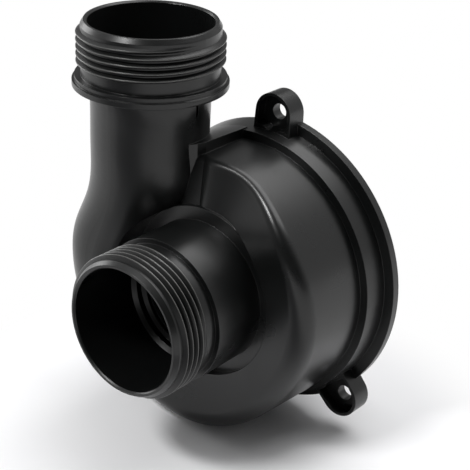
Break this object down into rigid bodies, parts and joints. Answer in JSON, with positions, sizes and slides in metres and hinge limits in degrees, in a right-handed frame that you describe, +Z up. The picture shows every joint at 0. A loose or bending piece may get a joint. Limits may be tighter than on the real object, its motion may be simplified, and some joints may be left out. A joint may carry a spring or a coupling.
{
  "type": "centrifugal pond pump head",
  "caption": "Moulded volute pump head with threaded inlet and outlet ports, lugged rear flange, shrouded impeller and canned motor.",
  "frame": {"origin": "centre of the inlet mouth, on the pump axis", "axes": "+Y into the pump along the shaft, +Z up along the outlet, +X to the right seen from the inlet"},
  "size_m": [0.1082, 0.0946, 0.1357],
  "materials": {
    "casing_plastic": "satin",
    "motor_plastic": "fine grained",
    "impeller_plastic": "satin",
    "can_plastic": "satin",
    "ceramic": "ground ceramic",
    "bearing_carbon": "machined graphite",
    "ferrite": "sintered",
    "steel_laminations": "stacked sheet",
    "copper": "enamelled winding wire",
    "insulator_plastic": "natural nylon",
    "board": "solder mask",
    "seal_rubber": "matte",
    "screw_steel": "stainless"
  },
  "bodies": {
    "pump_body": {"volute_casing": "casing_plastic", "front_shaft_holder": "impeller_plastic", "front_shaft_seat": "seal_rubber", "shaft": "ceramic", "rear_shaft_seat": "seal_rubber", "front_thrust_washer": "ceramic", "rear_thrust_washer": "ceramic", "back_plate": "can_plastic", "casing_o_ring": "seal_rubber", "housing_gasket": "seal_rubber", "motor_housing": "motor_plastic", "housing_screws": "screw_steel", "stator_core": "steel_laminations", "front_insulator": "insulator_plastic", "rear_insulator": "insulator_plastic", "stator_coils": "copper", "sensor_board": "board", "gland_body": "motor_plastic", "gland_seal": "seal_rubber", "gland_nut": "motor_plastic"},
    "rotor": {"impeller": "impeller_plastic", "impeller_shroud": "impeller_plastic", "rotor_sleeve": "impeller_plastic", "rotor_magnet": "ferrite", "front_bearing": "bearing_carbon", "rear_bearing": "bearing_carbon"}
  },
  "joints": [
    {"name": "impeller_spin", "type": "hinge", "parent": "pump_body", "child": "rotor", "pos_m": [0, 0.06, 0], "axis": [0, 1, 0], "continuous": true}
  ]
}
